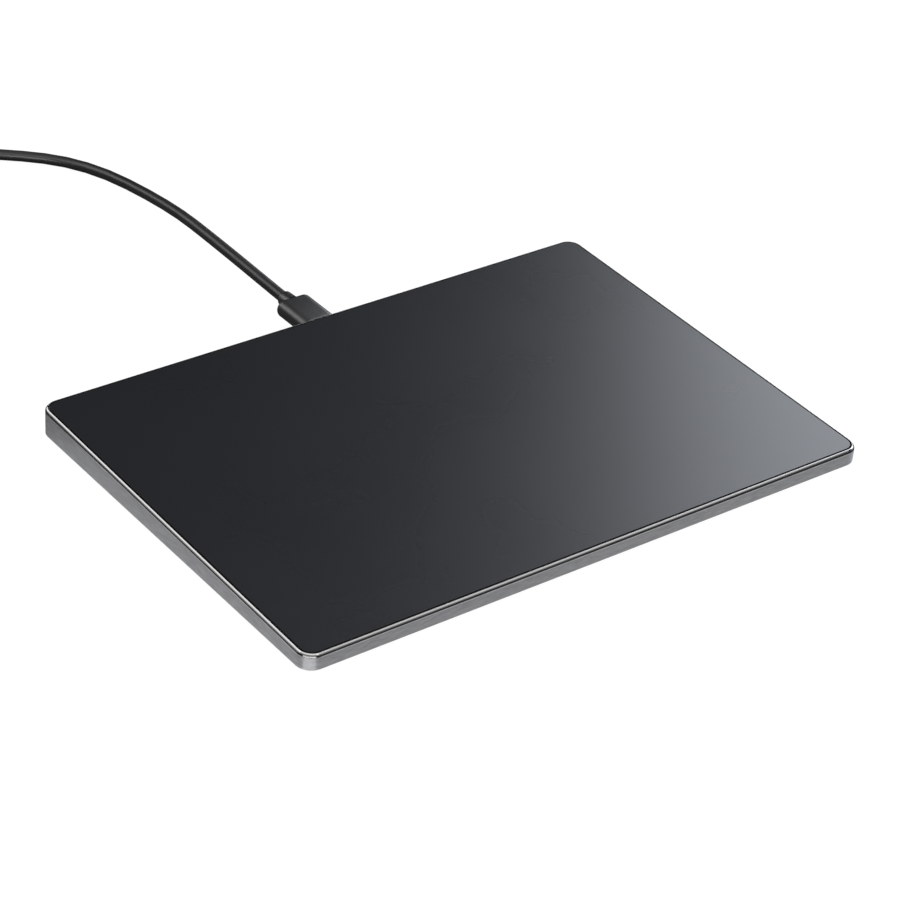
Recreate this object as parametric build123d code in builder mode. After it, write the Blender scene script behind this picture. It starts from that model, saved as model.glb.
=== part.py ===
from build123d import *
from math import atan2, copysign, cos, degrees, dist, pi, radians, sin, sqrt, tan
import os

os.makedirs("parts", exist_ok=True)

# A wedge-shaped click trackpad with a data cord that plugs into its back.
# Sizes are in millimetres. The origin is the middle of the footprint, on the table.
# X runs left to right, Y from the front edge to the back edge, and Z up.

# Metal wall: outer size without the feet. Its height follows from the layers inside it.
pad_width = 160.0
pad_depth = 112.0
wedge_rise = 3.0
corner_radius = 4.0
wall = 1.5
base_round = 0.3

# Polished rim round the glass
rim_chamfer = 0.6
rim_land = 0.1
rim_round = 0.75

# Bottom plate, set into the wall
plate_thickness = 0.8
plate_lip = 0.9
plate_clearance = 0.1

# Rubber feet, glued into shallow recesses
foot_stand = 0.8
foot_recess = 0.3
foot_length = 24.0
foot_width = 7.0
foot_round = 0.3
foot_side_inset = 20.0
foot_end_inset = 11.0

# Screws that close the bottom, and their bosses
screw_inset = 4.0
screw_columns = 4
screw_shank = 1.4
screw_head = 2.6
screw_head_height = 0.6
screw_bite = 0.8
screw_fit = 0.03
drive_depth = 0.35
boss_diameter = 4.4

# Click plate, from the glass down
plate_gap = 0.5
glass_recess = 0.1
glass_thickness = 0.7
glass_bevel = 0.15
adhesive_thickness = 0.1
board_thickness = 0.6
board_margin = 2.0
stiffener_thickness = 0.3
stiffener_margin = 0.5
sheet_corner = 1.5
window_margin = 0.8

# How far the plate's front edge moves, and what stays clear of it
press_travel = 0.3
ledge_gap = 0.6
boss_clearance = 0.25
stop_clearance = 0.15

# Leaf hinges at the back, and the housing blocks that clamp them
hinge_setback = 13.0
hinge_side_inset = 35.0
leaf_width = 14.0
leaf_thickness = 0.2
leaf_overlap = 6.0
leaf_bend = 2.5
leaf_clamp = 6.5
leaf_notch = 2.0
leaf_clearance = 0.1
leaf_screw_pitch = 7.0
leaf_screw_shank = 1.6
leaf_screw_head = 2.8
leaf_screw_head_height = 0.4
leaf_screw_bite = 2.2
leaf_hole_clearance = 0.2
rivet_shank = 1.0
rivet_head = 1.8
rivet_head_height = 0.25

# Click switches near the front corners, on one narrow board
switch_side_inset = 35.0
switch_setback = 12.0
switch_board_depth = 7.0
switch_board_overhang = 7.0
switch_board_thickness = 0.5
switch_width = 6.0
switch_depth = 5.0
switch_height = 0.8
switch_skin = 0.12
switch_corner = 0.4
plunger_diameter = 3.0
plunger_stand = 0.32
plunger_flange = 0.4
plunger_flange_height = 0.12
plunger_clearance = 0.08
press_pad_diameter = 2.4
press_pad_height = 0.19
press_pad_clearance = 0.06
stop_pad_diameter = 5.0
stop_pad_side_inset = 14.0
stop_pad_front_inset = 10.0

# Plug: a reversible oval shell, its insert and its moulded body
plug_shell_width = 8.25
plug_shell_height = 2.4
plug_shell_wall = 0.3
plug_shell_length = 6.65
plug_shell_set = 3.0
plug_fit = 0.03
plug_body_width = 10.0
plug_body_height = 4.8
plug_body_length = 12.4
plug_body_round = 1.3
plug_body_edge = 0.3
plug_standoff = 0.3
relief_diameter = 4.8
relief_taper = 2.5
relief_length = 4.5
relief_round = 0.6

# Socket that takes the plug
socket_clearance = 0.08
socket_wall = 0.3
socket_tip_gap = 0.2
socket_back = 0.4
socket_recess = 0.1
socket_head_gap = 0.32
socket_hole_clearance = 0.15
socket_tab_width = 1.2
socket_tab_length = 1.6
socket_tab_inset = 1.2
tongue_width = 6.7
tongue_height = 0.7
tongue_length = 4.6
tongue_root = 0.5
tongue_clearance = 0.12
tongue_spare = 0.5

# Interface board that carries the socket
iface_width = 30.0
iface_depth = 17.3
iface_thickness = 0.8
iface_wall_gap = 0.2
standoff_diameter = 3.2
standoff_inset = 3.2
iface_screw_shank = 1.4
iface_screw_head = 2.6
iface_screw_head_height = 0.5
iface_screw_bite = 0.7
iface_chip_size = 4.5
iface_chip_height = 0.8
iface_chip_x = 8.5
iface_chip_setback = 10.5

# Flat ribbons and their connectors
connector_width = 10.0
connector_depth = 3.5
connector_height = 1.0
connector_slot_depth = 2.0
connector_edge = 2.2
connector_distance = 13.0
ribbon_x = -3.0
ribbon_width = 8.0
ribbon_thickness = 0.15
ribbon_slot_clearance = 0.12
ribbon_lead = 2.0
ribbon_bend = 1.2
switch_ribbon_x = 10.0
switch_ribbon_width = 5.0
switch_ribbon_landing = 3.0
switch_ribbon_climb = 2.6

# Touch chip under the sensor board
touch_chip_size = 8.0
touch_chip_height = 0.8
touch_chip_x = -20.0
touch_chip_y = 8.0

# Cord, the coil of its spare length, and the tie round the coil
cord_diameter = 3.0
coil_radius = 24.7
coil_gap = 0.5
coil_turns_in = 3.5
coil_turns_over = 0.5
coil_turns_out = 3.25
coil_start_angle = 90.0
coil_x = -68.0
coil_forward = 96.0
coil_lead = 20.0
tie_angle = 270.0
tie_thickness = 0.6
tie_width = 6.0
tie_clearance = 0.05
tie_slack = 0.8
tie_round = 0.5
tail_straight = 8.0
tail_drop = 12.0

# One overrun serves every cut
overrun = 5.0

# Layers of the click plate, as depths under the sloped top
glass_under = glass_recess + glass_thickness
board_top_depth = glass_under + adhesive_thickness
board_under = board_top_depth + board_thickness
stack_depth = board_under + stiffener_thickness

# Heights above the table: the front height is the sum of the layers at the switches
wall_bottom = foot_stand
plate_top = foot_stand + plate_thickness
switch_board_top = plate_top + switch_board_thickness
switch_top = switch_board_top + switch_height
plunger_top = switch_top + plunger_stand
slope = wedge_rise / pad_depth
lean = atan2(wedge_rise, pad_depth)
half_width = pad_width / 2
half_depth = pad_depth / 2
switch_x = half_width - switch_side_inset
switch_y = switch_setback - half_depth
top_middle = (
    plunger_top + press_pad_clearance + press_pad_height + stack_depth / cos(lean) - switch_y * slope
)
front_height = top_middle - half_depth * slope - wall_bottom
back_height = top_middle + half_depth * slope - wall_bottom
rim_width = rim_chamfer + rim_land
slant_half_depth = half_depth / cos(lean)
top_plane = Plane(origin=(0, 0, top_middle), x_dir=(1, 0, 0), z_dir=(0, -sin(lean), cos(lean)))


def under_top(depth):
    """The plane that lies this far under the sloped top, parallel to it."""
    return top_plane.offset(-depth)


def height_under_top(y, depth):
    """Height above the table of that plane at this y."""
    return top_middle + y * slope - depth / cos(lean)


def along(y):
    """The same y, measured along the slope."""
    return y / cos(lean)


def inset_radius(inset):
    """Corner radius of an outline that lies this far inside the pad's."""
    return max(corner_radius - inset, base_round)


# Places that several pieces share
screw_pitch = (pad_width - 2 * screw_inset) / (screw_columns - 1)
screw_y = half_depth - screw_inset
screw_places = [
    (column * screw_pitch - half_width + screw_inset, row * screw_y)
    for column in range(screw_columns)
    for row in (-1, 1)
]
foot_places = {
    "foot_front_left": (foot_side_inset - half_width, foot_end_inset - half_depth),
    "foot_front_right": (half_width - foot_side_inset, foot_end_inset - half_depth),
    "foot_rear_left": (foot_side_inset - half_width, half_depth - foot_end_inset),
    "foot_rear_right": (half_width - foot_side_inset, half_depth - foot_end_inset),
}
sides = {"left": -1, "right": 1}
sheet_back = half_depth - hinge_setback
leaf_front = sheet_back - leaf_overlap
block_front = sheet_back + leaf_bend
leaf_back = block_front + leaf_clamp
hinge_y = sheet_back + leaf_bend / 2
hinge_z = height_under_top(hinge_y, stack_depth + leaf_thickness / 2)
leaf_screw_y = block_front + leaf_clamp / 2
rivet_y = sheet_back - leaf_overlap / 2
hinge_x = half_width - hinge_side_inset
hinge_xs = [side * hinge_x for side in sides.values()]
leaf_hole_xs = [x + side * leaf_screw_pitch / 2 for x in hinge_xs for side in sides.values()]

# Socket and interface board: the socket hangs just under the glass
socket_width = plug_shell_width + 2 * (socket_clearance + socket_wall)
socket_height = plug_shell_height + 2 * (socket_clearance + socket_wall)
socket_depth = plug_shell_length - plug_standoff - socket_recess + socket_tip_gap + tongue_root
socket_mouth_y = half_depth - socket_recess
socket_inner_y = socket_mouth_y - socket_depth - socket_back
plug_axis = height_under_top(socket_inner_y, glass_under) - socket_head_gap - socket_height / 2
iface_top = plug_axis - socket_height / 2
iface_bottom = iface_top - iface_thickness
iface_back = half_depth - wall - iface_wall_gap
iface_front = iface_back - iface_depth
standoff_x = iface_width / 2 - standoff_inset
iface_screw_places = [(side * standoff_x, iface_back - standoff_inset) for side in sides.values()]
rest_places = [(side * standoff_x, iface_front + standoff_inset) for side in sides.values()]
standoff_places = iface_screw_places + rest_places
flex_connector_y = iface_front + connector_edge + connector_depth / 2
sensor_connector_y = flex_connector_y - connector_distance


def sensor_side(x, y):
    """The plane on the sensor board's underside at this place, facing down."""
    return Plane(
        origin=(x, y, height_under_top(y, board_under)),
        x_dir=(1, 0, 0),
        z_dir=(0, sin(lean), -cos(lean)),
    )


# Screw bosses with webs to the wall, and the hinge blocks: both become part of the housing
with BuildPart() as screw_bosses:
    with BuildSketch(Plane.XY.offset(plate_top)):
        web = screw_inset - wall / 2
        for x, y in screw_places:
            with Locations((x, y)):
                Circle(boss_diameter / 2)
            with Locations((x, y + copysign(web / 2, y))):
                Rectangle(boss_diameter, web)
            if abs(x) > screw_pitch:
                with Locations((x + copysign(web / 2, x), y)):
                    Rectangle(web, boss_diameter)
    extrude(amount=back_height)
    split(bisect_by=under_top(stack_depth + press_travel + boss_clearance), keep=Keep.BOTTOM)

with BuildPart() as hinge_blocks:
    block_back = half_depth - wall / 2
    with BuildSketch(Plane.XY.offset(plate_top)):
        with Locations(*[(x, (block_front + block_back) / 2) for x in hinge_xs]):
            Rectangle(leaf_width, block_back - block_front)
    extrude(amount=back_height)
    split(bisect_by=under_top(stack_depth + leaf_thickness + leaf_clearance), keep=Keep.BOTTOM)

# Housing: a sloped ring with a polished rim, a ledge under the glass and a rebate for the plate
with BuildPart() as housing:
    with BuildSketch(Plane.XY.offset(wall_bottom)):
        RectangleRounded(pad_width, pad_depth, corner_radius)
    extrude(amount=back_height + overrun)
    split(bisect_by=top_plane, keep=Keep.BOTTOM)
    chamfer(housing.faces().sort_by(Axis.Z)[-1].outer_wire().edges(), length=rim_chamfer)
    shoulder = [
        edge
        for edge in housing.edges()
        if rim_chamfer / 2 < -top_plane.to_local_coords(edge.center()).Z < 2 * rim_chamfer
    ]
    fillet(shoulder, radius=rim_round)
    fillet(housing.faces().sort_by(Axis.Z)[0].outer_wire().edges(), radius=base_round)
    with BuildSketch(under_top(glass_under + ledge_gap)):
        RectangleRounded(
            pad_width - 2 * rim_width, 2 * (slant_half_depth - rim_width), inset_radius(rim_width)
        )
    extrude(amount=back_height, mode=Mode.SUBTRACT)
    with BuildSketch(Plane.XY.offset(wall_bottom)):
        RectangleRounded(pad_width - 2 * wall, pad_depth - 2 * wall, inset_radius(wall))
    extrude(amount=back_height, mode=Mode.SUBTRACT)
    with BuildSketch(Plane.XY.offset(wall_bottom)):
        RectangleRounded(
            pad_width - 2 * plate_lip, pad_depth - 2 * plate_lip, inset_radius(plate_lip)
        )
    extrude(amount=plate_thickness, mode=Mode.SUBTRACT)
    add(screw_bosses.part)
    add(hinge_blocks.part)
    with BuildSketch(Plane.XY.offset(plate_top)):
        with Locations(*screw_places):
            Circle(screw_shank / 2 + screw_fit)
    extrude(amount=screw_bite, mode=Mode.SUBTRACT)
    with BuildSketch(under_top(stack_depth)):
        with Locations(*[(x, along(leaf_screw_y)) for x in leaf_hole_xs]):
            Circle(leaf_screw_shank / 2 + screw_fit)
    extrude(amount=-(leaf_thickness + leaf_clearance + leaf_screw_bite), mode=Mode.SUBTRACT)
    with BuildSketch(Plane(origin=(0, half_depth, plug_axis), x_dir=(1, 0, 0), z_dir=(0, -1, 0))):
        SlotOverall(
            socket_width + 2 * socket_hole_clearance, socket_height + 2 * socket_hole_clearance
        )
    extrude(amount=wall + iface_wall_gap, mode=Mode.SUBTRACT)
housing.part.label = "housing"
export_step(housing.part, "parts/housing.step")

# Bottom plate: countersunk holes, foot recesses and the standoffs of the interface board
with BuildPart() as bottom_plate:
    plate_inset = plate_lip + plate_clearance
    with BuildSketch(Plane.XY.offset(wall_bottom)):
        RectangleRounded(
            pad_width - 2 * plate_inset, pad_depth - 2 * plate_inset, inset_radius(plate_inset)
        )
    extrude(amount=plate_thickness)
    with BuildSketch(Plane.XY.offset(plate_top)):
        with Locations(*standoff_places):
            Circle(standoff_diameter / 2)
    extrude(amount=iface_bottom - plate_top)
    with BuildSketch(Plane.XY.offset(iface_bottom)):
        with Locations(*iface_screw_places):
            Circle(iface_screw_shank / 2 + screw_fit)
    extrude(amount=-iface_screw_bite, mode=Mode.SUBTRACT)
    with BuildSketch(Plane.XY.offset(wall_bottom)):
        with Locations(*foot_places.values()):
            SlotOverall(foot_length + 2 * plate_clearance, foot_width + 2 * plate_clearance)
    extrude(amount=foot_recess, mode=Mode.SUBTRACT)
    with Locations(*[Location((x, y, wall_bottom), (180, 0, 0)) for x, y in screw_places]):
        CounterSinkHole(
            screw_shank / 2 + screw_fit,
            screw_head / 2 + screw_fit,
            counter_sink_angle=2 * degrees(atan2(screw_head - screw_shank, 2 * screw_head_height)),
        )
bottom_plate.part.label = "bottom_plate"
export_step(bottom_plate.part, "parts/bottom_plate.step")

# Countersunk screws with a hexagonal drive
with BuildPart() as bottom_screws:
    upward = (Align.CENTER, Align.CENTER, Align.MIN)
    with Locations(*[(x, y, wall_bottom) for x, y in screw_places]):
        Cone(screw_head / 2, screw_shank / 2, screw_head_height, align=upward)
        Cylinder(screw_shank / 2, plate_thickness + screw_bite, align=upward)
    with BuildSketch(Plane.XY.offset(wall_bottom)):
        with Locations(*screw_places):
            RegularPolygon(screw_shank / 2, 6)
    extrude(amount=drive_depth, mode=Mode.SUBTRACT)
bottom_screws.part.label = "bottom_screws"
export_step(bottom_screws.part, "parts/bottom_screws.step")

# Feet
for foot_name, place in foot_places.items():
    with BuildPart() as foot:
        with BuildSketch():
            with Locations(place):
                SlotOverall(foot_length, foot_width)
        extrude(amount=foot_stand + foot_recess)
        fillet(foot.faces().sort_by(Axis.Z)[0].edges(), radius=foot_round)
    foot.part.label = foot_name
    export_step(foot.part, f"parts/{foot_name}.step")

# Interface board on its standoffs, and its two screws
with BuildPart() as interface_board:
    with BuildSketch(Plane.XY.offset(iface_bottom)):
        with Locations((0, (iface_front + iface_back) / 2)):
            Rectangle(iface_width, iface_depth)
        with Locations(*iface_screw_places):
            Circle(iface_screw_shank / 2 + screw_fit, mode=Mode.SUBTRACT)
    extrude(amount=iface_thickness)
interface_board.part.label = "interface_board"
export_step(interface_board.part, "parts/interface_board.step")

with BuildPart() as board_screws:
    downward = (Align.CENTER, Align.CENTER, Align.MAX)
    with Locations(*[(x, y, iface_top) for x, y in iface_screw_places]):
        Cylinder(iface_screw_head / 2, iface_screw_head_height, align=upward)
        Cylinder(iface_screw_shank / 2, iface_thickness + iface_screw_bite, align=downward)
    with BuildSketch(Plane.XY.offset(iface_top + iface_screw_head_height)):
        with Locations(*iface_screw_places):
            RegularPolygon(iface_screw_shank / 2, 6)
    extrude(amount=-drive_depth, mode=Mode.SUBTRACT)
board_screws.part.label = "board_screws"
export_step(board_screws.part, "parts/board_screws.step")

with BuildPart() as interface_chip:
    with BuildSketch(Plane.XY.offset(iface_top)):
        with Locations((iface_chip_x, half_depth - iface_chip_setback)):
            Rectangle(iface_chip_size, iface_chip_size)
    extrude(amount=iface_chip_height)
interface_chip.part.label = "interface_chip"
export_step(interface_chip.part, "parts/interface_chip.step")

# Socket: an oval shell with solder tabs, and the tongue that stands in it
socket_mouth = Plane(origin=(0, socket_mouth_y, plug_axis), x_dir=(1, 0, 0), z_dir=(0, -1, 0))
with BuildPart() as socket_shell:
    tab_reach = socket_height / 2 + socket_tab_width
    tab_x = socket_width / 2 + socket_tab_width - tab_reach / 2
    tab_ys = (socket_inner_y + socket_tab_inset, iface_back - socket_tab_inset)
    with BuildSketch(Plane.XY.offset(iface_top)):
        with Locations(*[(side * tab_x, y) for side in sides.values() for y in tab_ys]):
            Rectangle(tab_reach, socket_tab_length)
    extrude(amount=socket_wall)
    with BuildSketch(socket_mouth):
        SlotOverall(socket_width, socket_height)
    extrude(amount=socket_depth + socket_back)
    with BuildSketch(socket_mouth):
        SlotOverall(socket_width - 2 * socket_wall, socket_height - 2 * socket_wall)
    extrude(amount=socket_depth, mode=Mode.SUBTRACT)
socket_shell.part.label = "socket_shell"
export_step(socket_shell.part, "parts/socket_shell.step")

with BuildPart() as socket_tongue:
    root_inset = socket_wall + plug_fit
    with BuildSketch(socket_mouth.offset(socket_depth)):
        SlotOverall(socket_width - 2 * root_inset, socket_height - 2 * root_inset)
    extrude(amount=-tongue_root)
    with BuildSketch(socket_mouth.offset(socket_depth)):
        Rectangle(tongue_width, tongue_height)
    extrude(amount=-(tongue_root + tongue_length))
socket_tongue.part.label = "socket_tongue"
export_step(socket_tongue.part, "parts/socket_tongue.step")


def make_connector(seat):
    """A ribbon connector that stands on this plane, with its slot open along the plane's -Y."""
    with BuildPart() as piece:
        slot_height = ribbon_thickness + 2 * ribbon_slot_clearance
        with BuildSketch(seat):
            Rectangle(connector_width, connector_depth)
        extrude(amount=connector_height)
        with BuildSketch(seat.offset((connector_height - slot_height) / 2)):
            with Locations((0, (connector_slot_depth - connector_depth) / 2)):
                Rectangle(ribbon_width + 2 * ribbon_slot_clearance, connector_slot_depth)
        extrude(amount=slot_height, mode=Mode.SUBTRACT)
    return piece


def make_ribbon(points, x, width):
    """A flat ribbon of this width at this x, bent through these (y, z) points."""
    with BuildPart() as piece:
        with BuildLine(Plane.YZ.offset(x)) as path:
            FilletPolyline(*points, radius=ribbon_bend)
        with BuildSketch(Plane(origin=path.line @ 0, x_dir=(1, 0, 0), z_dir=path.line % 0)):
            Rectangle(width, ribbon_thickness)
        sweep(path=path.line)
    return piece


# Ribbon from the interface board up to the sensor board
flex_connector = make_connector(
    Plane(origin=(ribbon_x, flex_connector_y, iface_top), x_dir=(1, 0, 0), z_dir=(0, 0, 1))
)
flex_connector.part.label = "flex_connector"
export_step(flex_connector.part, "parts/flex_connector.step")

sensor_connector = make_connector(sensor_side(ribbon_x, sensor_connector_y))
sensor_connector.part.label = "sensor_connector"
export_step(sensor_connector.part, "parts/sensor_connector.step")

grip = connector_slot_depth - ribbon_slot_clearance
lower_mouth = flex_connector_y - connector_depth / 2
upper_mouth = sensor_connector_y + connector_depth / 2
lower_z = iface_top + connector_height / 2
upper_z = height_under_top(upper_mouth, board_under + connector_height / 2)
sensor_flex = make_ribbon(
    [
        (lower_mouth + grip, lower_z),
        (lower_mouth - ribbon_lead, lower_z),
        (upper_mouth + ribbon_lead, upper_z),
        (upper_mouth - grip, upper_z),
    ],
    ribbon_x,
    ribbon_width,
)
sensor_flex.part.label = "sensor_flex"
export_step(sensor_flex.part, "parts/sensor_flex.step")

# Switch board along the front, and its ribbon over the bottom plate
with BuildPart() as switch_board:
    with BuildSketch(Plane.XY.offset(plate_top)):
        with Locations((0, switch_y)):
            RectangleRounded(
                2 * (switch_x + switch_board_overhang), switch_board_depth, base_round
            )
    extrude(amount=switch_board_thickness)
switch_board.part.label = "switch_board"
export_step(switch_board.part, "parts/switch_board.step")

board_edge = switch_y + switch_board_depth / 2
half_ribbon = ribbon_thickness / 2
switch_flex = make_ribbon(
    [
        (board_edge - switch_ribbon_landing, switch_board_top + half_ribbon),
        (board_edge + ribbon_bend, switch_board_top + half_ribbon),
        (board_edge + 2 * ribbon_bend, plate_top + half_ribbon),
        (iface_front - ribbon_bend - switch_ribbon_climb, plate_top + half_ribbon),
        (iface_front - ribbon_bend, iface_top + half_ribbon),
        (iface_front + switch_ribbon_landing, iface_top + half_ribbon),
    ],
    switch_ribbon_x,
    switch_ribbon_width,
)
switch_flex.part.label = "switch_flex"
export_step(switch_flex.part, "parts/switch_flex.step")

# Switches: a hollow body whose cover holds the flanged plunger
for side_name, side in sides.items():
    switch_place = (side * switch_x, switch_y)
    flange_radius = plunger_diameter / 2 + plunger_flange
    with BuildPart() as switch_housing:
        with BuildSketch(Plane.XY.offset(switch_board_top)):
            with Locations(switch_place):
                RectangleRounded(switch_width, switch_depth, switch_corner)
        extrude(amount=switch_height)
        with BuildSketch(Plane.XY.offset(switch_board_top + switch_skin)):
            with Locations(switch_place):
                Circle(flange_radius + plunger_clearance)
        extrude(amount=switch_height - 2 * switch_skin, mode=Mode.SUBTRACT)
        with BuildSketch(Plane.XY.offset(switch_top)):
            with Locations(switch_place):
                Circle(plunger_diameter / 2 + plunger_clearance)
        extrude(amount=-2 * switch_skin, mode=Mode.SUBTRACT)
    switch_housing.part.label = f"switch_housing_{side_name}"
    export_step(switch_housing.part, f"parts/switch_housing_{side_name}.step")

    with BuildPart() as switch_plunger:
        flange_top = switch_top - switch_skin - plunger_clearance
        with BuildSketch(Plane.XY.offset(flange_top - plunger_flange_height)):
            with Locations(switch_place):
                Circle(flange_radius)
        extrude(amount=plunger_flange_height)
        with BuildSketch(Plane.XY.offset(flange_top)):
            with Locations(switch_place):
                Circle(plunger_diameter / 2)
        extrude(amount=plunger_top - flange_top)
    switch_plunger.part.label = f"switch_plunger_{side_name}"
    export_step(switch_plunger.part, f"parts/switch_plunger_{side_name}.step")

# Soft pads on the bottom plate that stop the plate's front corners
with BuildPart() as travel_stop_pads:
    stop_x = half_width - stop_pad_side_inset
    stop_y = stop_pad_front_inset - half_depth
    stop_depth = stack_depth + press_travel + stop_clearance
    with BuildSketch(Plane.XY.offset(plate_top)):
        with Locations(*[(side * stop_x, stop_y) for side in sides.values()]):
            Circle(stop_pad_diameter / 2)
    extrude(amount=height_under_top(stop_y, stop_depth) - plate_top)
travel_stop_pads.part.label = "travel_stop_pads"
export_step(travel_stop_pads.part, "parts/travel_stop_pads.step")

# Glass of the click plate
with BuildPart() as glass_plate:
    glass_inset = rim_width + plate_gap
    with BuildSketch(under_top(glass_recess)):
        RectangleRounded(
            pad_width - 2 * glass_inset,
            2 * (slant_half_depth - glass_inset),
            inset_radius(glass_inset),
        )
    extrude(amount=-glass_thickness)
    chamfer(glass_plate.faces().sort_by(Axis.Z)[-1].edges(), length=glass_bevel)
glass_plate.part.label = "glass_plate"
export_step(glass_plate.part, "parts/glass_plate.step")


def sheet_sketch(depth, margin):
    """Outline of a layer at this depth, this far inside the glass on three sides."""
    front = glass_inset + margin - slant_half_depth
    back = along(sheet_back) + board_margin - margin
    with BuildSketch(under_top(depth)) as outline:
        with Locations((0, (front + back) / 2)):
            RectangleRounded(pad_width - 2 * (glass_inset + margin), back - front, sheet_corner)
    return outline.sketch


# Adhesive, sensor board and stiffener under the glass
with BuildPart() as plate_adhesive:
    add(sheet_sketch(glass_under, board_margin))
    extrude(amount=-adhesive_thickness)
plate_adhesive.part.label = "plate_adhesive"
export_step(plate_adhesive.part, "parts/plate_adhesive.step")

with BuildPart() as sensor_board:
    add(sheet_sketch(board_top_depth, board_margin))
    extrude(amount=-board_thickness)
sensor_board.part.label = "sensor_board"
export_step(sensor_board.part, "parts/sensor_board.step")

with BuildPart() as stiffener_plate:
    add(sheet_sketch(board_under, board_margin + stiffener_margin))
    extrude(amount=-stiffener_thickness)
    with BuildSketch(under_top(board_under)):
        with Locations((touch_chip_x, along(touch_chip_y))):
            Rectangle(touch_chip_size + 2 * window_margin, touch_chip_size + 2 * window_margin)
        with Locations((ribbon_x, along(sensor_connector_y) + ribbon_lead / 2)):
            Rectangle(
                connector_width + 2 * window_margin,
                connector_depth + 2 * window_margin + ribbon_lead,
            )
        with Locations(*[(x, along(rivet_y)) for x in leaf_hole_xs]):
            Circle(rivet_shank / 2 + screw_fit)
    extrude(amount=-stiffener_thickness, mode=Mode.SUBTRACT)
stiffener_plate.part.label = "stiffener_plate"
export_step(stiffener_plate.part, "parts/stiffener_plate.step")

with BuildPart() as touch_chip:
    with BuildSketch(sensor_side(touch_chip_x, touch_chip_y)):
        Rectangle(touch_chip_size, touch_chip_size)
    extrude(amount=touch_chip_height)
touch_chip.part.label = "touch_chip"
export_step(touch_chip.part, "parts/touch_chip.step")

with BuildPart() as press_pads:
    with BuildSketch(under_top(stack_depth)):
        with Locations(*[(side * switch_x, along(switch_y)) for side in sides.values()]):
            Circle(press_pad_diameter / 2)
    extrude(amount=-press_pad_height)
press_pads.part.label = "press_pads"
export_step(press_pads.part, "parts/press_pads.step")

# Leaf hinges: riveted under the stiffener in front, clamped on the housing's blocks behind
for side_name, side in sides.items():
    leaf_x = side * hinge_x
    hole_xs = [leaf_x + step * leaf_screw_pitch / 2 for step in (-1, 1)]
    with BuildPart() as hinge_leaf:
        with BuildSketch(under_top(stack_depth)):
            with Locations((leaf_x, along((leaf_front + leaf_back) / 2))):
                RectangleRounded(leaf_width, along(leaf_back - leaf_front), base_round)
            with Locations(*[(leaf_x + step * leaf_width / 2, along(hinge_y)) for step in (-1, 1)]):
                Rectangle(2 * leaf_notch, along(leaf_bend), mode=Mode.SUBTRACT)
            with Locations(*[(x, along(leaf_screw_y)) for x in hole_xs]):
                Circle(leaf_screw_shank / 2 + leaf_hole_clearance, mode=Mode.SUBTRACT)
            with Locations(*[(x, along(rivet_y)) for x in hole_xs]):
                Circle(rivet_shank / 2 + screw_fit, mode=Mode.SUBTRACT)
        extrude(amount=-leaf_thickness)
    hinge_leaf.part.label = f"hinge_leaf_{side_name}"
    export_step(hinge_leaf.part, f"parts/hinge_leaf_{side_name}.step")

with BuildPart() as leaf_rivets:
    rivet_places = [(x, along(rivet_y)) for x in leaf_hole_xs]
    with BuildSketch(under_top(board_under)):
        with Locations(*rivet_places):
            Circle(rivet_shank / 2)
    extrude(amount=-(stiffener_thickness + leaf_thickness))
    with BuildSketch(under_top(stack_depth + leaf_thickness)):
        with Locations(*rivet_places):
            Circle(rivet_head / 2)
    extrude(amount=-rivet_head_height)
leaf_rivets.part.label = "leaf_rivets"
export_step(leaf_rivets.part, "parts/leaf_rivets.step")

with BuildPart() as hinge_screws:
    head_under = stack_depth - leaf_clearance
    hinge_screw_places = [(x, along(leaf_screw_y)) for x in leaf_hole_xs]
    with BuildSketch(under_top(head_under)):
        with Locations(*hinge_screw_places):
            Circle(leaf_screw_head / 2)
    extrude(amount=leaf_screw_head_height)
    with BuildSketch(under_top(head_under)):
        with Locations(*hinge_screw_places):
            Circle(leaf_screw_shank / 2)
    extrude(amount=-(leaf_thickness + 2 * leaf_clearance + leaf_screw_bite))
hinge_screws.part.label = "hinge_screws"
export_step(hinge_screws.part, "parts/hinge_screws.step")


# Plug pieces: the seat plane is the body's front face, and its normal points along the cord
def make_plug_shell(seat):
    """The oval metal shell, set into the body."""
    with BuildPart() as piece:
        with BuildSketch(seat.offset(plug_shell_set)):
            SlotOverall(plug_shell_width, plug_shell_height)
            SlotOverall(
                plug_shell_width - 2 * plug_shell_wall,
                plug_shell_height - 2 * plug_shell_wall,
                mode=Mode.SUBTRACT,
            )
        extrude(amount=-(plug_shell_set + plug_shell_length))
    return piece


def make_plug_insert(seat):
    """The insert inside the shell, with the slot for the socket's tongue."""
    with BuildPart() as piece:
        insert_inset = plug_shell_wall + plug_fit
        with BuildSketch(seat.offset(plug_shell_set)):
            SlotOverall(
                plug_shell_width - 2 * insert_inset, plug_shell_height - 2 * insert_inset
            )
        extrude(amount=-(plug_shell_set + plug_shell_length - insert_inset))
        with BuildSketch(seat.offset(-plug_shell_length)):
            Rectangle(tongue_width + 2 * tongue_clearance, tongue_height + 2 * tongue_clearance)
        extrude(amount=tongue_length + tongue_spare, mode=Mode.SUBTRACT)
    return piece


def make_plug_body(seat):
    """The moulded body with rounded shoulders and a pocket for the shell."""
    with BuildPart() as piece:
        with BuildSketch(seat):
            SlotOverall(plug_body_width, plug_body_height)
        extrude(amount=plug_body_length)
        ends = piece.faces().sort_by(Axis.Y)
        fillet(ends[-1].edges(), radius=plug_body_round)
        fillet(ends[0].edges(), radius=plug_body_edge)
        with BuildSketch(seat):
            SlotOverall(plug_shell_width + 2 * plug_fit, plug_shell_height + 2 * plug_fit)
        extrude(amount=plug_shell_set, mode=Mode.SUBTRACT)
    return piece


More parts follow.
